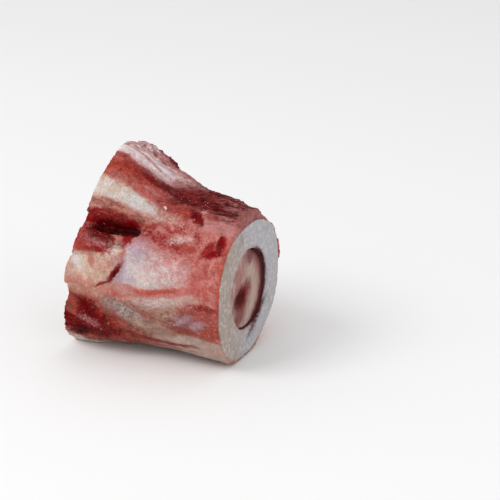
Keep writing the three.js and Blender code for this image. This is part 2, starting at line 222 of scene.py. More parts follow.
FIELDS = [
    # the back and the underside
    Field("lean_mid", "flesh_rose", "mottle", (70, 168), (-8, 172), 22, 0.3, 0.6),
    Field("membrane_lilac", "membrane_rose", "fibre", (44, 178), (8, 186), 9, 0.4, 0.6),
    Field("lean_dark", "lean_mid", "fibre", (66, 140), (2, 132), 8, 0.3, 0.5),
    Field("fat_salmon", "fat_cream", "mottle", (62, 160), (30, 165), 5, 0.3, 0.5),
    Field("tan", "bare", "mottle", (70, -84), (-8, -84), 15, 0.4, 0.7),
    Field("flesh_brown", "tan", "fibre", (64, -56), (10, -54), 5, 0.5, 0.7),
    # side of the bone under the pocket
    Field("flesh_rose", "flesh_pink", "mottle", (40, 52), (6, 40), 9, 0.4, 0.7),
    Field("flesh_pink", "membrane_rose", "mottle", (38, 4), (9, 22), 11, 0.4, 0.6),
    Field("membrane_rose", "membrane_white", "mottle", (38, 8), (18, 18), 8.4, 0.6, 0.6),
    Field("membrane_lilac", "membrane_white", "mottle", (38, 6), (32, 0), 2.4, 0.6, 0.5, 0.8),
    Field("membrane_lilac", "membrane_lilac", "mottle", (38.5, -3), (30, 33), 4.6, 0.5, 0.3, 0.7),
    Field("membrane_white", "membrane_white", "fibre", (34, 7), (22, 15), 4.8, 0.9, 0.5, 0.6),
    Field("membrane_white", "membrane_white", "fleck", (34, 24), (30, 12), 2.2, 0.8, 0.8, 0.5),
    Field("membrane_lilac", "membrane_lilac", "mottle", (39, -1), (35, 24), 1.6, 0.6, 0.3, 0.75),
    Field("flesh_rose", "flesh_pink", "mottle", (3, 42), (5, -5), 6.6, 0.45, 0.8),
    Field("flesh_rose", "flesh_rose", "fleck", (8, 27), (9, 10), 2.4, 0.7, 0.9, 0.6),
    Field("flesh_orange", "flesh_rose", "fleck", (-1, 58), (-1, -20), 2.4, 0.6, 0.8, 0.8),
    # red, frosted field under the muscle
    Field("flesh_red", "flesh_pink", "mottle", (31, 54), (9, 41), 6.8, 0.45, 1.0, 0.85),
    Field("flesh_pink", "fat_cream", "fleck", (27, 62), (20, 57), 2.0, 0.6, 1.2, 0.5),
    Field("blood", "lean_brown", "mottle", (32.6, 46.8), (27, 50.8), 1.8, 0.5, 0.9, 0.95),
    Field("blood_dark", "blood", "fleck", (32.4, 48.4), (28.5, 51.2), 0.6, 0.6, 0.9, 0.9),
    Field("blood", "flesh_red", "fleck", (26.5, 43), (14, 37), 1.9, 0.6, 1.3, 0.7),
    Field("blood", "flesh_red", "mottle", (20.8, 54), (18, 50.5), 1.1, 0.6, 1.1, 0.6),
    # Partly painted highlight: rosy membrane with white flecks that stand in for a sheen
    Field("membrane_rose", "membrane_white", "fleck", (20.5, 42), (14, 46.5), 1.3, 0.7, 1.4, 0.65),
    Field("flesh_orange", "flesh_red", "fleck", (15.2, 40.5), (12, 37.5), 0.8, 0.6, 1.0, 0.85),
    Field("membrane_rose", "membrane_rose", "mottle", (12.5, 60), (0, 64), 3.8, 0.5, 0.6, 0.9),
    Field("lean_pale", "membrane_rose", "fibre", (12, 62.5), (4, 62), 1.2, 0.6, 0.6, 0.7),
    Field("blood", "lean_brown", "mottle", (25, 70), (15, 66), 2.4, 0.6, 1.0, 0.75),
    Field("blood_dark", "blood", "mottle", (17.4, 69), (12.6, 60), 1.6, 0.5, 1.0),
    Field("blood_dark", "blood", "mottle", (13.6, 64), (11.6, 58), 0.9, 0.5, 0.8, 0.9),
    Field("flesh_red", "flesh_red", "fleck", (13.2, 60), (12.9, 51), 0.5, 0.8, 1.5, 0.5),
    Field("blood", "blood", "mottle", (13.3, 50), (12.4, 48), 0.6, 0.6, 0.8, 0.9),
    Field("lean_pale", "membrane_lilac", "fleck", (13.4, 71.6), (9.6, 69), 0.9, 0.6, 0.9, 0.6),
    Field("lean_brown", "flesh_brown", "mottle", (11.8, 68), (8, 68), 1.5, 0.5, 0.6, 0.85),
    Field("blood", "blood", "mottle", (3.8, 55), (1.6, 46), 1.4, 0.45, 0.6),
    Field("blood", "blood", "mottle", (8.6, 36.6), (1.6, 42.6), 1.25, 0.45, 0.7),
    Field("blood", "flesh_red", "mottle", (8.4, 37), (5, 47), 1.15, 0.5, 0.7, 0.9),
    Field("blood_dark", "blood", "mottle", (3.6, 51), (3.0, 43), 1.0, 0.7, 0.7, 0.9),
    # band of salmon flesh and the vessel below the membrane
    Field("flesh_brown", "tan", "mottle", (46, -24), (4, -20), 7.5, 0.35, 0.7),
    Field("fat_salmon", "flesh_rose", "mottle", (60, -17), (42, -13.5), 2.8, 0.4, 0.6),
    Field("fat_salmon", "flesh_rose", "mottle", (46, -13.5), (27, -0.5), 2.3, 0.4, 0.6),
    Field("fat_salmon", "membrane_rose", "fleck", (40, -5), (30, 0.5), 1.2, 0.6, 0.8, 0.8),
    Field("membrane_cream", "membrane_white", "fibre", (31, -6.5), (13, 0), 2.7, 0.6, 1.0, 0.75),
    Field("flesh_rose", "flesh_pink", "mottle", (20, 3), (11, 9), 1.6, 0.5, 0.8, 0.8),
    Field("flesh_rose", "flesh_pink", "mottle", (36, -7), (15.5, 7), 1.4, 0.7, 0.7, 0.7),
    Field("membrane_rose", "membrane_cream", "mottle", (37, -4.5), (31, -3), 1.2, 0.6, 0.8, 0.8),
    Field("flesh_orange", "flesh_rose", "fleck", (30, -1), (15.2, 8.2), 0.85, 0.6, 0.7, 0.9),
    Field("fat_cream", "membrane_rose", "fleck", (14, 0.5), (9, 2.6), 1.7, 0.6, 1.2, 0.8),
    Field("flesh_brown", "flesh_rose", "mottle", (12, -5), (0, -8), 2.6, 0.5, 0.8, 0.85),
    Field("blood", "flesh_brown", "fleck", (9.4, -2.6), (0.4, -1.6), 1.0, 0.5, 0.9, 0.85),
    # low on the side
    Field("grey", "tan", "fibre", (44, -20), (26, -24), 4.4, 0.4, 0.6, 0.95),
    Field("grey", "membrane_cream", "fleck", (40, -19), (33, -22), 2.3, 0.6, 0.9, 0.8),
    Field("grey", "fat_white", "fleck", (38.5, -18), (29, -19), 2.8, 0.7, 1.2, 0.42),
    Field("grey", "bruise", "mottle", (41, -21), (36, -18), 1.5, 0.7, 0.8, 0.6),
    Field("tan", "membrane_cream", "mottle", (33, -29), (19, -25), 2.6, 0.5, 0.8, 0.85),
    Field("tan", "membrane_cream", "fleck", (27, -17), (17, -11), 1.5, 0.6, 0.8, 0.6),
    Field("flesh_brown", "flesh_rose", "mottle", (29, -15), (22, -14), 1.2, 0.7, 0.9, 0.5),
    Field("tan", "membrane_cream", "mottle", (24, -21), (18, -22), 1.6, 0.7, 0.8, 0.8),
    Field("flesh_red", "flesh_brown", "mottle", (20, -21), (9, -24.5), 1.7, 0.6, 0.8, 0.65),
    Field("bruise", "membrane_lilac", "mottle", (16, -15), (6, -17.6), 2.3, 0.8, 0.6, 0.42),
    Field("flesh_brown", "flesh_orange", "fleck", (6, -24), (0, -14), 2.4, 0.6, 0.9, 0.8),
    Field("bare", "membrane_cream", "mottle", (22, -35), (-1, -34), 2.8, 0.5, 0.8),
    Field("bare", "membrane_cream", "fibre", (26, -48), (-1, -48), 5, 0.4, 0.5),
    Field("lean_mid", "flesh_brown", "fibre", (44, -45), (12, -40.5), 1.3, 0.5, 0.7, 0.9),
    Field("flesh_red", "tan", "fibre", (38, -50), (13, -47), 1.1, 0.5, 0.8, 0.85),
    # dark meat at the lower corner
    Field("flesh_brown", "lean_brown", "mottle", (64, -30), (36, -38), 8.5, 0.3, 0.7, 0.95),
    Field("blood_dark", "blood", "mottle", (62, -33), (43, -38), 6.6, 0.4, 0.9),
    Field("blood_dark", "blood", "fleck", (57, -40), (47, -28), 3.6, 0.5, 1.0, 0.95),
    Field("black_blood_and_shade", "blood_dark", "mottle", (56, -46), (50, -44), 1.6, 0.6, 0.9, 0.8),
    Field("blood_dark", "lean_mid", "fleck", (47, -44), (38, -40), 2.2, 0.5, 0.8, 0.8),
    Field("lean_pale", "membrane_rose", "fleck", (52, -34), (46, -38), 1.2, 0.8, 1.4, 0.5),
    Field("lean_brown", "flesh_brown", "mottle", (58, -28), (53, -29), 2.3, 0.5, 0.7, 0.9),
    # Painted light: the heel under the corner is painted pale cream and white, standing in for light bounced
    # onto the underside
    Field("fat_cream", "fat_white", "mottle", (66, -54), (48, -66), 3.2, 0.5, 0.6, 0.95),
    # fat pad at the joint end
    Field("fat_salmon", "fat_cream", "mottle", (62, -4), (41, 3), 7.6, 0.35, 0.5),
    Field("fat_salmon", "fat_cream", "mottle", (44, 8), (36.5, 26), 2.7, 0.5, 0.5),
    Field("fat_cream", "fat_cream", "mottle", (52, 8), (40, 4), 3.6, 0.7, 0.6, 0.8),
    Field("fat_white", "fat_white", "mottle", (52, 8), (49, 3), 1.7, 0.9, 0.5, 0.9),
    Field("fat_cream", "fat_white", "fleck", (41, 13), (36.6, 26), 1.3, 0.6, 0.8, 0.8),
    Field("fat_salmon", "flesh_pink", "mottle", (58, -9), (44, -7), 1.6, 0.6, 0.7, 0.8),
    Field("flesh_rose", "fat_salmon", "mottle", (46.6, 13), (44.6, 6), 0.9, 0.6, 0.6, 0.7),
    Field("flesh_orange", "flesh_rose", "mottle", (56, 14), (47.6, 16), 1.7, 0.5, 0.6, 0.95),
    Field("fat_salmon", "fat_cream", "mottle", (43, 3), (37.6, 14), 2.0, 0.5, 0.6, 0.9),
    Field("fat_salmon", "flesh_pink", "mottle", (35.2, 26), (35.6, 12), 0.7, 0.6, 0.5, 0.8),
    # Partly painted shade: red and dark red along the crease at the fat pad's edge, partly red flesh and
    # partly the shadow of the step
    Field("blood", "flesh_red", "mottle", (35.2, 15), (39.4, -2.4), 0.8, 0.45, 0.5, 0.95),
    Field("blood_dark", "blood_dark", "mottle", (35.6, 11.5), (38.2, 2), 0.5, 0.5, 0.4, 0.95),
    Field("blood", "flesh_red", "mottle", (38.6, -0.4), (45, -9.4), 0.42, 0.5, 0.6, 0.85),
    # fat strip above the pocket
    Field("fat_salmon", "fat_cream", "mottle", (64, 48), (33, 50), 2.9, 0.4, 0.6, 0.95),
    Field("fat_salmon", "flesh_pink", "mottle", (46, 46.5), (34, 47), 1.0, 0.6, 0.8, 0.8),
    Field("fat_cream", "fat_white", "mottle", (66, 59), (29, 57), 4.1, 0.3, 0.7),
    Field("fat_cream", "fat_white", "mottle", (47, 52), (38, 51.5), 1.3, 0.7, 0.7, 0.85),
    Field("fat_white", "fat_white", "mottle", (38.5, 54.5), (30, 57.5), 2.1, 0.5, 0.8),
    # pocket
    Field("flesh_red", "flesh_rose", "mottle", (56, 30), (48, 18), 3.4, 0.4, 0.6, 0.95),
    Field("flesh_red", "lean_pale", "fleck", (48.5, 26), (40.5, 19), 3.5, 0.4, 0.9),
    Field("lean_pale", "bruise", "fleck", (47, 24), (42, 22), 1.9, 0.7, 1.0, 0.5),
    Field("blood_dark", "blood", "fleck", (49, 29), (39.5, 27), 2.4, 0.5, 1.1, 0.85),
    Field("blood", "flesh_red", "fleck", (47, 15.6), (41, 17.4), 0.8, 0.5, 0.9, 0.9),
    Field("blood", "blood", "mottle", (52.5, 34.4), (32.2, 44), 2.8, 0.25, 0.5),
    Field("flesh_red", "flesh_rose", "fleck", (48, 38.4), (36, 45.6), 0.9, 0.6, 0.9, 0.6),
    # Painted shade: dark red along the pocket's slit
    Field("blood_dark", "blood_dark", "mottle", (49, 33.5), (34, 42), 1.5, 0.8, 0.9, 0.5),
    Field("blood", "blood", "mottle", (32.2, 42), (36.4, 27), 1.4, 0.5, 0.8),
    # Painted shade: nearly black red inside the slit, as the pocket's shadow
    Field("black_blood_and_shade", "blood_dark", "mottle", (47, 30.2), (33, 40.6), 1.6, 0.6, 1.0, 0.95),
    # Painted light: paler pink and salmon above the lip, to offset the shade that falls in the ditch there
    Field("flesh_pink", "fat_salmon", "mottle", (52, 44.6), (31, 50.4), 1.4, 0.6, 0.6, 0.9),
    # red-brown lean beside the sinew
    Field("flesh_red", "flesh_rose", "mottle", (32, 70), (22, 68), 2.6, 0.5, 0.7, 0.8),
    Field("lean_brown", "flesh_orange", "mottle", (68, 70), (33, 73), 4.9, 0.4, 0.5),
    Field("flesh_rose", "flesh_pink", "mottle", (47, 64.5), (33, 65), 1.2, 0.6, 0.7, 0.8),
    Field("flesh_rose", "membrane_rose", "mottle", (38, 69), (26, 70), 1.4, 0.6, 0.7, 0.75),
    Field("flesh_red", "lean_brown", "mottle", (45, 73.5), (34, 75), 1.3, 0.7, 0.8, 0.6),
    Field("blood", "lean_mid", "fibre", (40, 78.5), (22, 79), 1.5, 0.5, 0.7, 0.95),
    # muscle and sinew along the top
    Field("lean_dark", "lean_pale", "fibre", (40, 110), (-6, 92), 13.5, 0.2, 0.5),
    Field("lean_dark", "lean_mid", "fibre", (30, 92), (10, 84), 4.4, 0.4, 0.7, 0.85),
    Field("blood_dark", "lean_mid", "fibre", (30, 82), (6, 75), 2.6, 0.4, 0.6, 0.9),
    Field("blood_dark", "blood", "fibre", (26, 104), (2, 90), 1.8, 0.5, 0.8, 0.85),
    Field("sinew_rose", "membrane_rose", "fibre", (33, 90), (24.5, 90), 2.2, 0.6, 0.8, 0.7),
    Field("lean_pale", "flesh_brown", "mottle", (0.9, 68), (0, 118), 1.0, 0.8, 1.4, 0.7),
    Field("sinew_rose", "sinew_rose", "fibre", (70, 86), (26, 103), 8.2, 0.35, 0.6),
    Field("sinew_rose", "sinew_white", "fibre", (64, 80), (27, 97), 4.6, 0.5, 0.6, 0.9),
    Field("flesh_red", "flesh_rose", "fibre", (49, 76.6), (38, 79.5), 0.9, 0.6, 0.6, 0.7),
    Field("sinew_white", "sinew_white", "fibre", (51, 81.5), (40, 84), 1.1, 0.6, 0.8, 0.95),
    Field("sinew_white", "sinew_white", "fibre", (43, 85), (29, 95.5), 1.5, 0.6, 0.8, 0.95),
    Field("flesh_red", "sinew_rose", "fibre", (46, 85.5), (33.4, 91), 0.4, 0.7, 0.6, 0.6),
    Field("flesh_red", "sinew_rose", "fibre", (50, 98), (34, 113), 2.4, 0.5, 0.6, 0.5),
    Field("lean_mid", "flesh_red", "fibre", (49, 91), (34, 100), 0.36, 0.7, 0.8, 0.85),
    Field("lean_mid", "flesh_red", "fibre", (48, 96), (32, 104), 0.32, 0.7, 0.8, 0.85),
    Field("lean_mid", "flesh_red", "fibre", (45, 101), (34, 108), 0.36, 0.7, 0.8, 0.85),
    Field("sinew_rose", "sinew_white", "fibre", (50, 103), (37, 109), 1.8, 0.5, 0.7, 0.8),
    Field("lean_dark", "lean_mid", "fibre", (60, 119), (30, 131), 5, 0.3, 0.5),
    Field("blood_dark", "lean_mid", "fibre", (54, 115.5), (31, 120), 3.2, 0.35, 0.6, 0.95),
]

# Where a surface is pushed in or out, as a field: from, to, half width and height in millimetres.
Push = namedtuple("Push", "start end half_width height")

PUSHES = [
    Push((49, 32), (33, 40), 2.4, -1.3),
    Push((47, 30), (34, 38.5), 1.2, -1.0),
    Push((35.2, 15), (39.4, -2.4), 0.7, -0.8),
    Push((38.8, -1), (45, -9.4), 0.5, -0.35),
    Push((36, -7), (15.4, 8.6), 0.9, 0.4),
    Push((8.3, 35), (2, 40.5), 1.2, -0.4),
    Push((40, -41), (8, -41), 1.0, -0.4),
    Push((44, -37), (12, -36), 1.0, 0.4),
    Push((40, 79), (16, 79), 0.8, -0.45),
]

# A push ends at this reach, and fades over the last part of it
PUSH_REACH = 1.4
PUSH_FADE = 0.9

# Where the bone under its membrane is smooth
SMOOTH_PLACE = {"start": (36, 4), "end": (9, 22), "half_width": 9, "share": 0.3, "reach": 0.6, "fade": 0.7}

# Where frost has gathered: from, to and half width as for a field, and how many grains
Frost = namedtuple("Frost", "start end half_width grains")

FROST = [
    Frost((56, 100), (4, 260), 60, 200),
    Frost((29, 63), (12, 47), 6, 110),
    Frost((2, 60), (2, -30), 1.4, 60),
    Frost((17, -3), (4, 2), 2.6, 60),
    Frost((40, -20), (8, -20), 9, 80),
    Frost((57, -38), (43, -40), 7, 22),
    Frost((52, 52), (44, 43), 3, 14),
    Frost((26, 79), (6, 73), 3, 24),
    Frost((44, 86), (28, 95), 5, 14),
    Frost((48, 25), (41, 20), 3.4, 14),
    Frost((58, 8), (52, -6), 4, 12),
]
FROST_SEED = 11
FROST_SPREAD = 0.5  # in shares of a field's size
FROST_RADII = (0.4, 1.15)  # in shares of the usual radius
FROST_STRETCH = (0.7, 1.2)
FROST_LOWEST = 0.002  # metres above the surface that the bone lies on
FROST_ENDS = {"first": 1, "last": LENGTH - 4}
# Larger crystals: place, and radius in millimetres
CRYSTALS = [((26.6, 65.6), 0.62), ((26.1, 64.4), 0.5), ((22.5, 60), 0.3), ((30.5, -8), 0.3), ((46, 36), 0.28),
            ((12.6, 0.4), 0.36), ((11.6, 1.6), 0.3), ((50.5, -36), 0.34), ((17.5, 52), 0.26)]

# Relief of a surface, from coarse to fine: size of its bumps in millimetres, how many times longer they are
# along the bone, and their height
Relief = namedtuple("Relief", "size stretch height")

BONE_RELIEF = [Relief(1.7, 1, 0.3), Relief(0.8, 1, 0.2)]
MARROW_RELIEF = [Relief(3, 1, 0.3), Relief(0.9, 1, 0.15)]

# The soft tissues: how rough each is, how strongly its fibres streak it, how deep fibres and mottling go in
# metres, its share of frost, its relief, and the scraps of it that lie on the wrapping tissue
Tissue = namedtuple("Tissue", "name roughness streak fibre_depth mottle_depth frost relief scraps")

TISSUES = {
    "membrane": Tissue(
        "Membrane over bone", 0.4, 0.04, 0.00006, 0.00018, 0.25,
        [Relief(6, 1.4, 0.55), Relief(2.2, 2.2, 0.42), Relief(1.0, 1.5, 0.16)],
        ["lower_tissue_strip"],
    ),
    "lean": Tissue(
        "Frozen lean", 0.4, 0.18, 0.0003, 0.00025, 0.12,
        [Relief(4, 2.2, 0.6), Relief(1.4, 4, 0.8), Relief(0.8, 2.5, 0.45)],
        ["muscle_strip", "torn_flap", "lean_band", "pocket_lip", "pocket_flesh", "corner_meat",
         "back_lean_strip"],
    ),
    "sinew": Tissue(
        "Pearly sinew", 0.34, 0.12, 0.00025, 0.0001, 0.1,
        [Relief(4, 2, 0.4), Relief(1.3, 9, 0.5)],
        ["sinew_band"],
    ),
    "fat": Tissue(
        "Firm fat", 0.42, 0.03, 0.00004, 0.0002, 0.15,
        [Relief(4, 1.4, 0.5), Relief(1.6, 3, 0.25)],
        ["upper_fat_strip", "lower_fat_pad", "back_fat_strip"],
    ),
}

# Blots on the sawn face: middle and half sizes across and up in millimetres, turn in degrees
Blot = namedtuple("Blot", "colour share middle half_sizes turn soft ragged")

MARROW_BLOTS = [
    Blot("marrow_cream", 0.9, (0.6, 30), (4.4, 8.5), 4, 0.5, 0.9),
    Blot("marrow_cream", 0.85, (3.4, 20), (2.6, 9), -16, 0.5, 0.9),
    Blot("marrow_pink", 0.75, (6.2, 33), (2.6, 5.5), 24, 0.5, 1.2),
    Blot("marrow_pink", 0.8, (-9.5, 28), (2.2, 7), -10, 0.5, 1),
    Blot("marrow_dark", 0.85, (-7.4, 17.5), (3.4, 5), -20, 0.5, 1),
    Blot("marrow_dark", 0.95, (1.6, 36.8), (6, 2.6), 20, 0.5, 1.2),
    Blot("marrow_dark", 0.8, (-3, 25.6), (3.2, 3.2), 0, 0.6, 1.2),
    Blot("marrow_dark", 0.9, (PIT["y"] + 1.2, PIT["z"] + 0.6), (6.6, 4.6), 22, 0.6, 1.2),
    Blot("blood", 1, (PIT["y"] + 0.8, PIT["z"] + 0.3), (5.2, 3.6), 20, 0.5, 1.0),
    Blot("blood_dark", 1, (PIT["y"] - 0.3, PIT["z"] - 0.2), (4.6, 3.3), 0, 0.5, 0.7),
    Blot("black_blood_and_shade", 0.5, (PIT["y"] - 0.6, PIT["z"] + 0.2), (1.8, 1.4), 0, 0.6, 0.6),
]
# Crumbs left along the canal's low edge, and small spots on the wall
BONE_CRUMBS = Blot("canal", 1, (6, 11.6), (10, 1.9), 33, 0.35, 2.6)
BONE_SPOTS = Blot("canal", 0.6, (15.6, 24), (1.6, 7), 0, 0.4, 2.4)

Lamp = namedtuple("Lamp", "name place size")

KEY_LIGHT = Lamp("Key light", (-0.62, -0.75, 0.95), 0.7)
FILL_LIGHT = Lamp("Fill light", (0.95, -0.5, 0.45), 0.8)


class Number:
    """A socket that can be calculated with: each step adds its Math node."""

    def __init__(self, finish, socket):
        self.finish = finish
        self.socket = socket

    def step(self, operation, *values):
        return self.finish.node("ShaderNodeMath", {"operation": operation}, dict(enumerate(values)))

    def __add__(self, other):
        return self.step("ADD", self, other)

    __radd__ = __add__

    def __sub__(self, other):
        return self.step("SUBTRACT", self, other)

    def __rsub__(self, other):
        return self.step("SUBTRACT", other, self)

    def __mul__(self, other):
        return self.step("MULTIPLY", self, other)

    __rmul__ = __mul__


class Finish:
    """A material, or a group of nodes shared by materials, built node by node."""

    def __init__(self, tree, colours):
        self.tree = tree
        self.colours = colours

    def node(self, kind, settings=None, inputs=None, output=0):
        made = self.tree.nodes.new(kind)
        for key, value in (settings or {}).items():
            setattr(made, key, value)
        for key, value in (inputs or {}).items():
            if isinstance(value, Number):
                self.tree.links.new(value.socket, made.inputs[key])
            else:
                made.inputs[key].default_value = value
        return Number(self, made.outputs[output]) if made.outputs else None

    def ramp(self, value, low, high, start=0, end=1):
        """Runs smoothly from start to end while value runs from low to high."""
        settings = {"interpolation_type": "SMOOTHSTEP"}
        return self.node("ShaderNodeMapRange", settings, {0: value, 1: low, 2: high, 3: start, 4: end})

    def mix(self, share, a, b):
        """Colour a where share is 0, and b where it is 1, each a socket or the name of a colour."""
        a, b = [(*getattr(self.colours, c), 1) if isinstance(c, str) else c for c in (a, b)]
        return self.node("ShaderNodeMix", {"data_type": "RGBA"}, {0: share, 6: a, 7: b}, output=2)

    def vector(self, operation, *values, output=0):
        return self.node("ShaderNodeVectorMath", {"operation": operation}, dict(enumerate(values)), output)

    def distance(self, place):
        """How far a place is from zero."""
        return self.vector("LENGTH", place, output="Value")

    def parts(self, place):
        return [self.node("ShaderNodeSeparateXYZ", None, {0: place}, output=i) for i in range(3)]

    def noise(self, place, size, detail=2.0, roughness=0.5, output="Fac"):
        """Noise whose bumps are size apart, in the units of place."""
        inputs = {"Vector": place, "Scale": 1 / size, "Detail": detail, "Roughness": roughness}
        return self.node("ShaderNodeTexNoise", None, inputs, output)

    def drift(self, place, size, detail, reach):
        """A vector that wanders about zero, at most half of reach each way."""
        noise = self.noise(place, size, detail, output="Color")
        parts = [self.node("ShaderNodeSeparateColor", None, {0: noise}, output=i) for i in range(3)]
        return self.node("ShaderNodeCombineXYZ", None, {i: (parts[i] - 0.5) * reach[i] for i in range(3)})

    def cells(self, place, size, feature="F1"):
        inputs = {"Vector": place, "Scale": 1 / size}
        return self.node("ShaderNodeTexVoronoi", {"feature": feature}, inputs, "Distance")

    def bump(self, height, depth, normal=None):
        """Bumps of a height from 0 to 1, depth in metres."""
        inputs = {"Height": height, "Distance": depth, "Strength": 1}
        if normal:
            inputs["Normal"] = normal
        return self.node("ShaderNodeBump", None, inputs)

    def surface(self, inputs):
        """The material's shader."""
        shader = self.node("ShaderNodeBsdfPrincipled", None, inputs)
        self.node("ShaderNodeOutputMaterial", None, {0: shader})


def new_material(name, colours):
    """An empty material, and what builds its nodes."""
    material = bpy.data.materials.new(name)
    material.use_nodes = True
    material.node_tree.nodes.clear()
    return material, Finish(material.node_tree, colours)


def millimetres(finish):
    """The shaded point in millimetres of the frame."""
    point = finish.node("ShaderNodeTexCoord", output="Object")
    return finish.vector("MULTIPLY", point, (1 / MM,) * 3)


def eased(share):
    """A share kept between 0 and 1, and slowed toward both."""
    share = min(max(share, 0), 1)
    return share * share * (3 - 2 * share)


def axis_height(u):
    """Height of the bone's middle, in millimetres, at a distance from the sawn face."""
    rise = 0
    for part in (HEEL_RISE, JOINT_RISE):
        rise += part["height"] * eased((u - part["start"]) / (part["end"] - part["start"]))
    return FACE_HALF_HEIGHT + rise


def from_canal(point):
    """Distance of a point, in metres, from the middle line of the canal at the sawn face."""
    return math.hypot(point.y - CANAL["y"] * MM, point.z - CANAL["z"] * MM)


def unrolled(u, angle):
    """A place as a point of the flat, unrolled surface, in millimetres."""
    return Vector((u, math.radians(angle) * UNROLL_RADIUS, 0))


def place_of(point):
    """The unrolled place of a point of the mesh, in metres."""
    u = FACE_X - point.x / MM
    side, up = -point.y / MM, point.z / MM - axis_height(u)
    turned = math.atan2(up - side, up + side) + SEAM_TURN
    return Vector((u, turned * UNROLL_RADIUS, 0))


def point_at(u, angle, radius):
    """The point of the frame, in metres, at a place and a distance from the bone's middle line."""
    a = math.radians(angle)
    return Vector((FACE_X - u, -radius * math.cos(a), axis_height(u) + radius * math.sin(a))) * MM


def unrolled_place(finish, point):
    """The unrolled place of the shaded point, as place_of gives it, and its place on a straight round bone,
    along which the fibres run."""
    x, y, z = finish.parts(point)
    u = FACE_X - x
    axis = FACE_HALF_HEIGHT
    for part in (HEEL_RISE, JOINT_RISE):
        axis = axis + finish.ramp(u, part["start"], part["end"], 0, part["height"])
    up = z - axis
    turned = (up + y).step("ARCTAN2", up + y, up - y) + SEAM_TURN
    place = finish.node("ShaderNodeCombineXYZ", None, {0: u, 1: turned * UNROLL_RADIUS})
    outward = finish.vector("NORMALIZE", finish.node("ShaderNodeCombineXYZ", None, {1: y, 2: up}))
    straight = finish.vector("MULTIPLY_ADD", outward, (0, UNROLL_RADIUS, UNROLL_RADIUS),
                             finish.node("ShaderNodeCombineXYZ", None, {0: u}))
    over_top = finish.ramp(up, SINEW_TURN["low"], SINEW_TURN["high"], 0, -SINEW_TURN["per_mm"])
    flow = finish.node(
        "ShaderNodeVectorRotate", {"rotation_type": "X_AXIS"}, {"Vector": straight, "Angle": over_top * u},
    )
    return place, flow


def ellipse(start, end, half_width):
    """Middle, turn and half sizes of the ellipse that runs between two places."""
    a, b = unrolled(*start), unrolled(*end)
    along = b - a
    return (a + b) / 2, math.atan2(along.y, along.x), (along.length / 2 + half_width * 0.3, half_width, 1)


def fields_group(colours):
    """The colours round the outside of the bone, and the grains that mix them, as one group of nodes."""
    tree = bpy.data.node_groups.new("Colours round the bone", "ShaderNodeTree")
    outputs = {"Colour": "NodeSocketColor", "Fibre": "NodeSocketFloat", "Mottle": "NodeSocketFloat",
               "Fleck": "NodeSocketFloat"}
    for name, kind in outputs.items():
        tree.interface.new_socket(name, in_out="OUTPUT", socket_type=kind)
    finish = Finish(tree, colours)
    point = millimetres(finish)
    place, flow = unrolled_place(finish, point)
    wander = finish.drift(point, 7, 2, (0, 3.8, 3.8))
    swirl = finish.vector("ADD", point, wander)
    shifted = finish.vector("ADD", place, finish.drift(swirl, 6, 2, (2.6, 1.8, 0)))
    shifted = finish.vector("ADD", shifted, finish.drift(swirl, 1.6, 2, (1.1, 0.8, 0)))
    flow = finish.vector("ADD", flow, wander)
    long_grain = finish.noise(finish.vector("MULTIPLY", flow, (0.13, 1, 1)), 1.1, 4, 0.62)
    fine_grain = finish.noise(finish.vector("MULTIPLY", flow, (0.12, 1, 1)), 0.42, 2, 0.6)
    fibre = finish.ramp(long_grain * 0.6 + fine_grain * 0.4, 0.38, 0.62)
    mottle = finish.ramp(finish.noise(swirl, 2.6, 5, 0.62), 0.36, 0.64)
    fleck = finish.ramp(finish.noise(swirl, 0.8, 4, 0.65), 0.38, 0.62)
    grains = {"fibre": fibre, "mottle": mottle, "fleck": fleck}
    torn = finish.noise(swirl, 1.3, 4, 0.7) - 0.5
    frayed = long_grain - 0.5

    paint = finish.mix(mottle, "flesh_rose", "flesh_pink")
    for field in FIELDS:
        middle, turn, size = ellipse(field.start, field.end, field.half_width)
        turned = finish.node(
            "ShaderNodeVectorRotate", {"rotation_type": "Z_AXIS"},
            {"Vector": shifted, "Center": middle, "Angle": -turn},
        )
        scale = Vector((1 / size[0], 1 / size[1], 0))
        inside = finish.vector("MULTIPLY_ADD", turned, scale, -middle * scale)
        edge = frayed if field.grain == "fibre" else torn
        reach = finish.distance(inside) + edge * (field.ragged * RAGGED_REACH)
        mask = finish.ramp(reach, 1 - field.soft, 1 + field.soft, field.strength, 0)
        paint = finish.mix(mask, paint, field.dark)
        if field.light != field.dark:
            paint = finish.mix(mask * grains[field.grain], paint, field.light)
    finish.node("NodeGroupOutput", None, {0: paint, 1: fibre, 2: mottle, 3: fleck})
    return tree


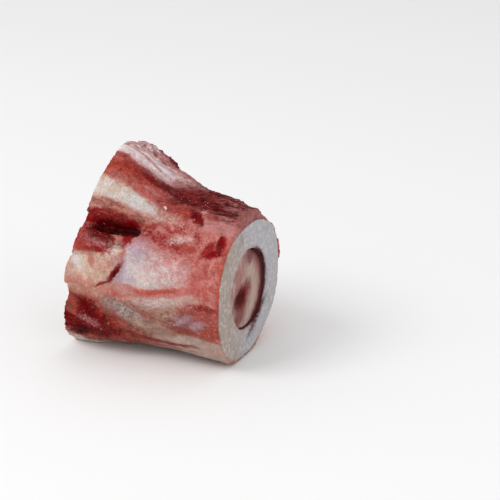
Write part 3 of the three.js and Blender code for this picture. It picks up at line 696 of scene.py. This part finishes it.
def skin_material(colours, tissue):
    """Soft tissue: the colours round the bone, with the gloss, bumps and frost of one kind of tissue."""
    material, finish = new_material(tissue.name, colours)
    group = bpy.data.node_groups.get("Colours round the bone") or fields_group(colours)
    field_node = finish.tree.nodes.new("ShaderNodeGroup")
    field_node.node_tree = group
    paint, fibre, mottle, fleck = [Number(finish, field_node.outputs[i]) for i in range(4)]
    point = millimetres(finish)
    grit = finish.noise(point, 0.5, 2, 0.6)
    cloud = finish.noise(point, 5, 3, 0.55)
    red = finish.node("ShaderNodeSeparateColor", None, {0: paint})
    frosted = finish.ramp(grit + cloud * 0.5, 0.88, 1.02, 0, tissue.frost) * finish.ramp(red, 0.1, 0.4)
    shade = (
        finish.ramp(cloud, 0.35, 0.65, 0.92, 1.06)
        * finish.ramp(grit, 0.3, 0.7, 0.92, 1.07)
        * finish.ramp(fibre, 0, 1, 1 - tissue.streak, 1 + tissue.streak)
        * finish.ramp(fleck, 0, 1, 0.88, 1.08)
    )
    shades = finish.node("ShaderNodeCombineXYZ", None, {0: shade, 1: shade, 2: shade})
    toned = finish.vector("MULTIPLY", paint, shades)
    frosty = finish.mix(frosted, toned, "frost")
    u = FACE_X - finish.parts(point)[0]
    away_from_cut = finish.ramp(u, *FIBRES_START) * finish.ramp(u, *FIBRES_END)
    bumps = finish.bump(fibre * away_from_cut, tissue.fibre_depth)
    bumps = finish.bump(mottle, tissue.mottle_depth, bumps)
    bumps = finish.bump(grit, 0.00005, bumps)
    finish.surface({
        "Base Color": frosty,
        "Roughness": tissue.roughness + frosted * 0.25 - fleck * 0.08,
        "Normal": bumps,
        "Subsurface Weight": 0.1,
        "Subsurface Radius": (0.0014, 0.0005, 0.0003),
        "Subsurface Scale": 1,
        "Specular IOR Level": 0.05,
    })
    return material


def face_blot(finish, flat, noise, blot):
    """Share of a blot on the sawn face."""
    inside = finish.node(
        "ShaderNodeMapping", {"vector_type": "TEXTURE"},
        {"Vector": flat, "Location": (0, *blot.middle), "Rotation": (math.radians(blot.turn), 0, 0),
         "Scale": (1, *blot.half_sizes)},
    )
    reach = finish.distance(inside) + (noise - 0.5) * blot.ragged
    return finish.ramp(reach, 1 - blot.soft, 1 + blot.soft, 1, 0)


def canal_distance(finish, flat):
    """Distance of the shaded point from the middle line of the canal, in millimetres."""
    return finish.distance(finish.vector("SUBTRACT", flat, (0, CANAL["y"], CANAL["z"])))


def far_cut(finish, point):
    """The cut at the joint end: its spongy colours, where it is, and the height of its webs."""
    x, y, z = finish.parts(point)
    depth = x * math.cos(FAR_CUT_LEAN) - z * math.sin(FAR_CUT_LEAN) + FACE_X * math.cos(FAR_CUT_LEAN)
    here = finish.ramp(depth, 0.3, 1.6, 1, 0)
    cloud = finish.noise(point, 6, 3, 0.6)
    bent = finish.vector("ADD", point, finish.drift(point, 1.6, 2, (1.4, 1.4, 1.4)))
    holes = finish.ramp(finish.cells(bent, 1.15, "DISTANCE_TO_EDGE"), 0.04, 0.3)
    web = finish.mix(cloud, "bare", "marrow_cream")
    filling = finish.mix(finish.ramp(cloud, 0.45, 0.65), "marrow_pink", "flesh_red")
    out = finish.vector("MULTIPLY_ADD", point, (0, 1 / FAR_RIM["y"], 1 / FAR_RIM["z"]),
                        (0, 0, -FAR_RIM["middle"] / FAR_RIM["z"]))
    rim = finish.ramp(finish.distance(out) + cloud * 0.16, 0.94, 1.06)
    spongy = finish.mix(holes, web, filling)
    return finish.mix(rim, spongy, "bone_cool"), here, holes * (1 - rim) * here


def bone_material(colours):
    """Sawn bone: dense cool wall, warmer beside the flesh, pores, faint saw lines, and a spongy far end."""
    material, finish = new_material("Sawn bone", colours)
    point = millimetres(finish)
    x, y = finish.parts(point)[:2]
    flat = finish.vector("MULTIPLY", point, (0, 1, 1))
    across = canal_distance(finish, flat)
    cloud = finish.noise(point, 6, 4, 0.6)
    crumb = finish.noise(point, 0.9, 3, 0.7)
    side = finish.ramp(y * -1 + cloud * 8 - 4, -2, 17)
    base = finish.mix(side, "bone_cool", "bone_warm")
    dapple = finish.noise(point, 1.3, 4, 0.65)
    base = finish.mix(finish.ramp(dapple, 0.46, 0.7, 0, 0.4), base, "frost")
    base = finish.mix(finish.ramp(crumb, 0.48, 0.32, 0, 0.35), base, "bone_pore")
    base = finish.mix(finish.ramp(cloud, 0.55, 0.75, 0, 0.35), base, "bone_pore")
    inner = finish.ramp(across + cloud * 3, *PINK_TOWARD_CANAL, 1, 0)
    base = finish.mix(inner * 0.35, base, "marrow_pink")
    pores = finish.ramp(finish.cells(point, 1.2), 0.12, 0.24, 1, 0)
    chosen = finish.ramp(finish.noise(point, 2.6, 3, 0.6), 0.52, 0.6)
    pitted = pores * chosen
    base = finish.mix(pitted * 0.75, base, "bone_pore")
    # Painted shade: the face's edge at the canal, on the side where the gap opens, is darkened as the gap's
    # shadow
    lip_shade = finish.ramp(across + crumb * 3, *CANAL_LIP, 1, 0) * finish.ramp(y, *TOWARD_GAP)
    base = finish.mix(lip_shade, base, "canal")
    for blot, low, high in ((BONE_CRUMBS, 0.4, 0.52), (BONE_SPOTS, 0.55, 0.66)):
        dots = face_blot(finish, flat, crumb, blot) * finish.ramp(crumb, low, high)
        base = finish.mix(dots * blot.share, base, blot.colour)
    spongy, cut, holes = far_cut(finish, point)
    depth = FACE_X - x
    # Painted shade: the canal's wall just behind the face is darkened as the gap's shade; deeper in, it takes
    # the marrow's dark pink
    wall_shade = finish.ramp(depth, 0.25, 0.9) * finish.ramp(across, *CANAL_WALL, 1, 0)
    base = finish.mix(wall_shade, base, "canal")
    base = finish.mix(finish.ramp(depth, 0.9, 1.8) * wall_shade, base, "marrow_dark")
    # Painted shade: the bone's outside under the tissue, where it shows in gaps, is painted nearly black
    hidden_bone_shade = finish.ramp(depth, 3, 6) * finish.ramp(across, *UNDER_TISSUE)
    base = finish.mix(hidden_bone_shade, base, "black_blood_and_shade")
    base = finish.mix(cut, base, spongy)
    lines = finish.noise(finish.vector("MULTIPLY", point, (1, 0.06, 1)), 0.5, 2, 0.5)
    bumps = finish.bump(lines, 0.00006)
    bumps = finish.bump(1 - pitted, 0.0002, bumps)
    bumps = finish.bump(crumb, 0.00012, bumps)
    bumps = finish.bump(1 - holes, 0.0004, bumps)
    finish.surface({
        "Base Color": base,
        "Roughness": 0.5 + dapple * 0.2,
        "Normal": bumps,
        "Subsurface Weight": 0.12,
        "Subsurface Radius": (0.001, 0.0008, 0.0007),
        "Subsurface Scale": 1,
        "Specular IOR Level": 0.25,
    })
    return material


def marrow_material(colours):
    """Marrow: cream middle, pink sides, dark edge by the gap with painted shade of the gap at its rim, and
    the dark red pit of a vessel.
    """
    material, finish = new_material("Marrow fat", colours)
    point = millimetres(finish)
    cloud = finish.noise(point, 4, 4, 0.6)
    flat = finish.vector("MULTIPLY", point, (0, 1, 1))
    upright = finish.vector("MULTIPLY", point, (1, 1, 0.35))
    streaky = finish.ramp(finish.noise(upright, 1.6, 4, 0.6), 0.35, 0.65)
    base = finish.mix(streaky, "marrow_pink", "marrow_cream")
    for blot in MARROW_BLOTS:
        base = finish.mix(face_blot(finish, flat, cloud, blot) * blot.share, base, blot.colour)
    edge = canal_distance(finish, flat)
    toward_gap = finish.ramp(finish.parts(point)[1], *TOWARD_GAP)
    torn = finish.noise(point, 1.2, 4, 0.7)
    dark = finish.ramp(edge + cloud * 3, *MARROW_EDGE["dark"], 0, 0.95) * toward_gap
    base = finish.mix(dark, base, "marrow_dark")
    # Painted shade: the marrow's rim on the gap side is painted in the canal's dark, as the shadow of the gap
    gap = finish.ramp(edge + torn * 3, *MARROW_EDGE["gap"]) * toward_gap
    base = finish.mix(gap, base, "canal")
    base = finish.mix(finish.ramp(edge + cloud, *MARROW_EDGE["rim"], 0, 0.5), base, "marrow_pink")
    spongy, cut, holes = far_cut(finish, point)
    base = finish.mix(cut, base, spongy)
    grain = finish.noise(point, 0.7, 4, 0.65)
    bumps = finish.bump(streaky, 0.0003)
    bumps = finish.bump(grain, 0.00018, bumps)
    bumps = finish.bump(1 - holes, 0.0004, bumps)
    finish.surface({
        "Base Color": base,
        "Roughness": 0.42 + grain * 0.15,
        "Normal": bumps,
        "Subsurface Weight": 0.12,
        "Subsurface Radius": (0.0015, 0.0007, 0.0005),
        "Subsurface Scale": 1,
        "Specular IOR Level": 0.1,
    })
    return material


def frost_material(colours):
    """Grains of frost: white to cream, slightly clear."""
    material, finish = new_material("Frost", colours)
    point = millimetres(finish)
    share = finish.ramp(finish.noise(point, 1.5, 2), 0.35, 0.65)
    tint = finish.mix(share, "fat_white", "fat_salmon")
    finish.surface({
        "Base Color": tint,
        "Roughness": 0.25,
        "Subsurface Weight": 0.3,
        "Subsurface Radius": (0.001, 0.0007, 0.0006),
        "Subsurface Scale": 1,
    })
    return material


def only(piece):
    """Makes one piece the selected and active one."""
    bpy.ops.object.select_all(action="DESELECT")
    piece.select_set(True)
    bpy.context.view_layer.objects.active = piece


def apply_modifier(piece, name, kind, **settings):
    modifier = piece.modifiers.new(name, kind)
    for key, value in settings.items():
        setattr(modifier, key, value)
    only(piece)
    bpy.ops.object.modifier_apply(modifier=modifier.name)


def swell(piece, height, group=""):
    """Moves the surface out by a height in metres, all over or as a vertex group says."""
    apply_modifier(
        piece, "Swell", "DISPLACE", direction="NORMAL", mid_level=0, strength=height, vertex_group=group,
    )


def copy_of(node):
    """A copy of a CAD node's mesh as a new piece named after the node with _finish added, its loose triangles
    merged.
    """
    piece = bpy.data.objects.new(f"{node}_finish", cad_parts[node].data.copy())
    bpy.context.scene.collection.objects.link(piece)
    piece.data.materials.clear()
    only(piece)
    bpy.ops.object.mode_set(mode="EDIT")
    bpy.ops.mesh.select_all(action="SELECT")
    bpy.ops.mesh.remove_doubles(threshold=MERGE)
    bpy.ops.object.mode_set(mode="OBJECT")
    return piece


def relief(piece, layers, group=""):
    """Lays bumps on a piece, each layer stretched along the bone by a helper that is then removed."""
    for layer in layers:
        helper = bpy.data.objects.new("stretch", None)
        bpy.context.scene.collection.objects.link(helper)
        helper.scale = (layer.stretch, 1, 1)
        bpy.context.view_layer.update()
        texture = bpy.data.textures.new("relief", type="CLOUDS")
        texture.noise_scale = layer.size * MM
        texture.noise_depth = 2
        apply_modifier(
            piece, "Relief", "DISPLACE", texture=texture, texture_coords="OBJECT",
            texture_coords_object=helper, direction="NORMAL", mid_level=0.5,
            strength=layer.height * MM * 2, vertex_group=group,
        )
        bpy.data.textures.remove(texture)
        bpy.data.objects.remove(helper)


def field_reach(start, end, half_width):
    """A function that says how far out in a field a place is: 0 in its middle and 1 at its edge."""
    middle, turn, size = ellipse(start, end, half_width)
    back = Matrix.Rotation(-turn, 3, "Z")

    def reach(place):
        inside = back @ (place - middle)
        return math.hypot(inside.x / size[0], inside.y / size[1])

    return reach


def smooth_place(piece):
    """A vertex group that keeps the relief low where the bone under its membrane is smooth."""
    reach = field_reach(SMOOTH_PLACE["start"], SMOOTH_PLACE["end"], SMOOTH_PLACE["half_width"])
    least = SMOOTH_PLACE["share"]
    group = piece.vertex_groups.new(name="rough")
    for vertex in piece.data.vertices:
        past = max(reach(place_of(vertex.co)) - SMOOTH_PLACE["reach"], 0)
        share = min(past / SMOOTH_PLACE["fade"], 1)
        group.add([vertex.index], least + (1 - least) * share, "REPLACE")
    return group.name


def push(piece):
    """Pushes the surface in or out along the fields in PUSHES."""
    places = [place_of(v.co) for v in piece.data.vertices]
    for row in PUSHES:
        reach = field_reach(row.start, row.end, row.half_width)
        group = piece.vertex_groups.new(name="push")
        for index, place in enumerate(places):
            out = reach(place)
            if out < PUSH_REACH:
                group.add([index], eased((PUSH_REACH - out) / PUSH_FADE), "REPLACE")
        swell(piece, row.height * MM, group.name)
        piece.vertex_groups.clear()


def cut_off(piece, point, outward):
    """Cuts the piece along a plane and closes the cut."""
    only(piece)
    bpy.ops.object.mode_set(mode="EDIT")
    bpy.ops.mesh.select_all(action="SELECT")
    bpy.ops.mesh.bisect(plane_co=point, plane_no=outward, use_fill=True, clear_outer=True, threshold=MERGE)
    bpy.ops.object.mode_set(mode="OBJECT")


def saw(piece, face_back, far_back=0.0):
    """The two saw cuts, and the flat underside."""
    cut_off(piece, (FACE_X * MM - face_back, 0, 0), (1, 0, 0))
    far_side = (-math.cos(FAR_CUT_LEAN), 0, math.sin(FAR_CUT_LEAN))
    cut_off(piece, (-FACE_X * MM + far_back, 0, 0), far_side)
    cut_off(piece, (0, 0, FLAT_UNDERSIDE), (0, 0, -1))


def refined(piece, grid, smoothing):
    """Gives a piece a fine, smooth skin."""
    apply_modifier(piece, "Grid", "REMESH", mode="VOXEL", voxel_size=grid, adaptivity=0)
    apply_modifier(piece, "Soften", "SMOOTH", factor=0.5, iterations=smoothing)
    return piece


def hand_over(piece, node, material):
    """Gives a finished piece its material, and its place in the frame."""
    piece.data.materials.append(material)
    only(piece)
    bpy.ops.object.shade_smooth_by_angle(angle=SMOOTH_ANGLE)
    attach(piece, "root")
    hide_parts(node)


def make_scraps(context, slot, material):
    """The scraps of one kind of tissue, each grown to meet the tissue round it."""
    sizes = context.scene.bone_sizes
    for node in TISSUES[slot].scraps:
        piece = refined(copy_of(node), sizes.scrap_grid, SMOOTHING["scrap"])
        swell(piece, sizes.swell)
        push(piece)
        relief(piece, TISSUES[slot].relief)
        saw(piece, sizes.wrap_setback - SCRAP_FORWARD, SCRAP_FAR_TRIM)
        hand_over(piece, node, material)


class MARROW_BONE_OT_wrapping(Operator):
    """Tissue wrapped round the bone, with the slit of the pocket"""

    bl_idname = "marrow_bone.wrapping"
    bl_label = "Wrapping tissue"

    def execute(self, context):
        sizes = context.scene.bone_sizes
        tissue = TISSUES["membrane"]
        material = skin_material(context.scene.bone_colours, tissue)
        piece = copy_of("wrapping_tissue")
        beds = [copy_of(node) for kind in TISSUES.values() for node in kind.scraps]
        for bed in beds:
            swell(bed, sizes.bed_swell)
        only(piece)
        for bed in beds:
            bed.select_set(True)
        bpy.ops.object.join()
        refined(piece, sizes.wrap_grid, SMOOTHING["wrapping"])
        push(piece)
        relief(piece, tissue.relief, smooth_place(piece))
        piece.vertex_groups.clear()
        saw(piece, sizes.wrap_setback)
        hand_over(piece, "wrapping_tissue", material)
        make_scraps(context, "membrane", material)
        return {"FINISHED"}


class MARROW_BONE_OT_bone(Operator):
    """Sawn bone wall"""

    bl_idname = "marrow_bone.bone"
    bl_label = "Sawn bone"

    def execute(self, context):
        sizes = context.scene.bone_sizes
        piece = refined(copy_of("bone_wall"), sizes.bone_grid, SMOOTHING["bone"])
        swell(piece, sizes.bone_swell / 3)
        outside = piece.vertex_groups.new(name="outside")
        outside.add([v.index for v in piece.data.vertices if from_canal(v.co) > OUTSIDE], 1, "REPLACE")
        swell(piece, sizes.bone_swell, "outside")
        piece.vertex_groups.clear()
        relief(piece, BONE_RELIEF)
        saw(piece, sizes.saw_trim, BONE_FAR_TRIM)
        hand_over(piece, "bone_wall", bone_material(context.scene.bone_colours))
        return {"FINISHED"}


class MARROW_BONE_OT_marrow(Operator):
    """Marrow core with its pit"""

    bl_idname = "marrow_bone.marrow"
    bl_label = "Marrow"

    def execute(self, context):
        sizes = context.scene.bone_sizes
        piece = refined(copy_of("marrow"), sizes.marrow_grid, SMOOTHING["marrow"])
        relief(piece, MARROW_RELIEF)
        saw(piece, CLEAR_OF_SAW, BONE_FAR_TRIM)
        hand_over(piece, "marrow", marrow_material(context.scene.bone_colours))
        return {"FINISHED"}


class MARROW_BONE_OT_lean(Operator):
    """Scraps of lean, from the strip along the top to the dark meat at the corner"""

    bl_idname = "marrow_bone.lean"
    bl_label = "Lean"

    def execute(self, context):
        make_scraps(context, "lean", skin_material(context.scene.bone_colours, TISSUES["lean"]))
        return {"FINISHED"}


class MARROW_BONE_OT_sinew(Operator):
    """Pearly sinew over the crest"""

    bl_idname = "marrow_bone.sinew"
    bl_label = "Sinew"

    def execute(self, context):
        make_scraps(context, "sinew", skin_material(context.scene.bone_colours, TISSUES["sinew"]))
        return {"FINISHED"}


class MARROW_BONE_OT_fat(Operator):
    """Pads and strips of fat"""

    bl_idname = "marrow_bone.fat"
    bl_label = "Fat"

    def execute(self, context):
        make_scraps(context, "fat", skin_material(context.scene.bone_colours, TISSUES["fat"]))
        return {"FINISHED"}


class MARROW_BONE_OT_frost(Operator):
    """Grains and small crystals of frost on the tissue"""

    bl_idname = "marrow_bone.frost"
    bl_label = "Frost"

    def execute(self, context):
        nodes = [node for tissue in TISSUES.values() for node in tissue.scraps] + ["wrapping_tissue"]
        context.view_layer.update()
        graph = context.evaluated_depsgraph_get()
        trees = [BVHTree.FromObject(bpy.data.objects[f"{node}_finish"], graph) for node in nodes]
        draw = random.Random(FROST_SEED)
        places = self.places(draw, context.scene.bone_sizes.frost_size)
        grain = self.grain(context)
        grains = [grain]
        for u, turn, radius in places:
            hit = self.landing(trees, u, turn)
            if hit and hit.z > FROST_LOWEST and FROST_ENDS["first"] < u < FROST_ENDS["last"]:
                copy = bpy.data.objects.new("grain", grain.data.copy())
                copy.location = hit
                copy.rotation_euler = [draw.uniform(0, math.tau) for _ in range(3)]
                copy.scale = [radius * draw.uniform(*FROST_STRETCH) for _ in range(3)]
                context.scene.collection.objects.link(copy)
                grains.append(copy)
        if len(grains) < 2:
            raise RuntimeError("No frost landed on the tissue")
        self.join(grains)
        return {"FINISHED"}

    def places(self, draw, size):
        """Distance, angle and radius of each grain and crystal."""
        places = []
        for field in FROST:
            middle, turn, half_sizes = ellipse(field.start, field.end, field.half_width)
            forward = Matrix.Rotation(turn, 3, "Z")
            for _ in range(field.grains):
                inside = [draw.gauss(0, FROST_SPREAD) * half_size for half_size in half_sizes[:2]]
                place = middle + forward @ Vector((*inside, 0))
                round_bone = math.degrees(place.y / UNROLL_RADIUS)
                places.append((place.x, round_bone, size * draw.uniform(*FROST_RADII)))
        return places + [(*place, radius * MM) for place, radius in CRYSTALS]

    def grain(self, context):
        """One uneven grain, a unit in radius."""
        bpy.ops.object.select_all(action="DESELECT")
        bpy.ops.mesh.primitive_ico_sphere_add(subdivisions=1, radius=1, location=(0, 0, 0))
        grain = bpy.context.object
        grain.name = "frost"
        texture = bpy.data.textures.new("chipped", type="CLOUDS")
        texture.noise_scale = 0.8
        apply_modifier(grain, "Chipped", "DISPLACE", texture=texture, mid_level=0.5, strength=0.9)
        bpy.data.textures.remove(texture)
        return grain

    def landing(self, trees, u, turn):
        """Where a grain that falls straight in at a place meets the tissue."""
        start = point_at(u, turn, OUTER_RADIUS)
        inward = (point_at(u, turn, 0) - start).normalized()
        hits = [tree.ray_cast(start, inward) for tree in trees]
        found = [(distance, spot) for spot, normal, face, distance in hits if spot]
        return min(found, key=lambda hit: hit[0])[1] if found else None

    def join(self, grains):
        """Joins the grains, without the first one, that they were copied from."""
        bpy.data.objects.remove(grains[0])
        frost = grains[1]
        only(frost)
        bpy.ops.object.transform_apply(location=True, rotation=True, scale=True)
        for grain in grains[2:]:
            grain.select_set(True)
        bpy.ops.object.join()
        frost.name = "frost"
        frost.data.materials.append(frost_material(bpy.context.scene.bone_colours))
        bpy.ops.object.shade_smooth_by_angle(angle=FROST_SMOOTH_ANGLE)
        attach(frost, "root")


class MARROW_BONE_OT_stage(Operator):
    """Floor, soft light and camera"""

    bl_idname = "marrow_bone.stage"
    bl_label = "Stage"

    def execute(self, context):
        stage = context.scene.bone_stage
        context.scene.view_settings.view_transform = "Standard"
        self.floor(stage)
        self.sky(context, stage)
        self.lamp(KEY_LIGHT, stage.key_power)
        self.lamp(FILL_LIGHT, stage.fill_power)
        self.camera(context, stage)
        return {"FINISHED"}

    def floor(self, stage):
        bpy.ops.object.select_all(action="DESELECT")
        bpy.ops.mesh.primitive_plane_add(size=FLOOR_SIZE, location=(0, 0, 0))
        floor = bpy.context.object
        floor.name = "floor"
        material, finish = new_material("Pale floor", None)
        finish.surface({"Base Color": (*stage.floor, 1), "Roughness": 0.9, "Specular IOR Level": 0.1})
        floor.data.materials.append(material)

    def sky(self, context, stage):
        world = bpy.data.worlds.new("Studio")
        world.use_nodes = True
        world.node_tree.nodes["Background"].inputs["Color"].default_value = (1, 1, 1, 1)
        world.node_tree.nodes["Background"].inputs["Strength"].default_value = stage.sky
        context.scene.world = world

    def lamp(self, lamp, energy):
        light = bpy.data.lights.new(lamp.name, "AREA")
        light.size = lamp.size
        light.energy = energy
        piece = bpy.data.objects.new(lamp.name, light)
        piece.location = lamp.place
        toward = Vector((0, 0, AIM_HEIGHT)) - Vector(lamp.place)
        piece.rotation_euler = toward.to_track_quat("-Z", "Y").to_euler()
        bpy.context.scene.collection.objects.link(piece)

    def camera(self, context, stage):
        view = bpy.data.cameras.new("Camera")
        view.lens = stage.lens
        view.sensor_width = 36
        view.shift_x, view.shift_y = stage.shift_x, stage.shift_y
        view.clip_start, view.clip_end = 0.01, 20
        camera = bpy.data.objects.new("Camera", view)
        level = math.cos(stage.elevation)
        back = Vector((
            math.sin(stage.azimuth) * level, -math.cos(stage.azimuth) * level, math.sin(stage.elevation)
        ))
        camera.location = Vector((0, 0, stage.aim_height)) + back * stage.distance
        camera.rotation_euler = (-back).to_track_quat("-Z", "Y").to_euler()
        context.scene.collection.objects.link(camera)
        context.scene.camera = camera


class MARROW_BONE_PT_panel(Panel):
    """Buttons for the pieces, and their sizes and colours"""

    bl_label = "Marrow bone"
    bl_idname = "MARROW_BONE_PT_panel"
    bl_space_type = "VIEW_3D"
    bl_region_type = "UI"
    bl_category = "Marrow bone"

    def draw(self, context):
        for operator in OPERATORS:
            self.layout.operator(operator.bl_idname)
        for group in (context.scene.bone_sizes, context.scene.bone_colours, context.scene.bone_stage):
            box = self.layout.box()
            for name in group.bl_rna.properties.keys():
                if name not in ("rna_type", "name"):
                    box.prop(group, name)


GROUPS = {"bone_sizes": BoneSizes, "bone_colours": BoneColours, "bone_stage": BoneStage}
OPERATORS = (
    MARROW_BONE_OT_bone,
    MARROW_BONE_OT_marrow,
    MARROW_BONE_OT_wrapping,
    MARROW_BONE_OT_lean,
    MARROW_BONE_OT_sinew,
    MARROW_BONE_OT_fat,
    MARROW_BONE_OT_frost,
    MARROW_BONE_OT_stage,
)


def register():
    for name, group in GROUPS.items():
        bpy.utils.register_class(group)
        setattr(bpy.types.Scene, name, PointerProperty(type=group))
    for operator in OPERATORS:
        bpy.utils.register_class(operator)
    bpy.utils.register_class(MARROW_BONE_PT_panel)


def unregister():
    bpy.utils.unregister_class(MARROW_BONE_PT_panel)
    for operator in reversed(OPERATORS):
        bpy.utils.unregister_class(operator)
    for name, group in reversed(GROUPS.items()):
        delattr(bpy.types.Scene, name)
        bpy.utils.unregister_class(group)


def main():
    register()
    bpy.ops.marrow_bone.bone()
    bpy.ops.marrow_bone.marrow()
    bpy.ops.marrow_bone.wrapping()
    bpy.ops.marrow_bone.lean()
    bpy.ops.marrow_bone.sinew()
    bpy.ops.marrow_bone.fat()
    bpy.ops.marrow_bone.frost()
    bpy.ops.marrow_bone.stage()


if __name__ == "__main__":
    main()
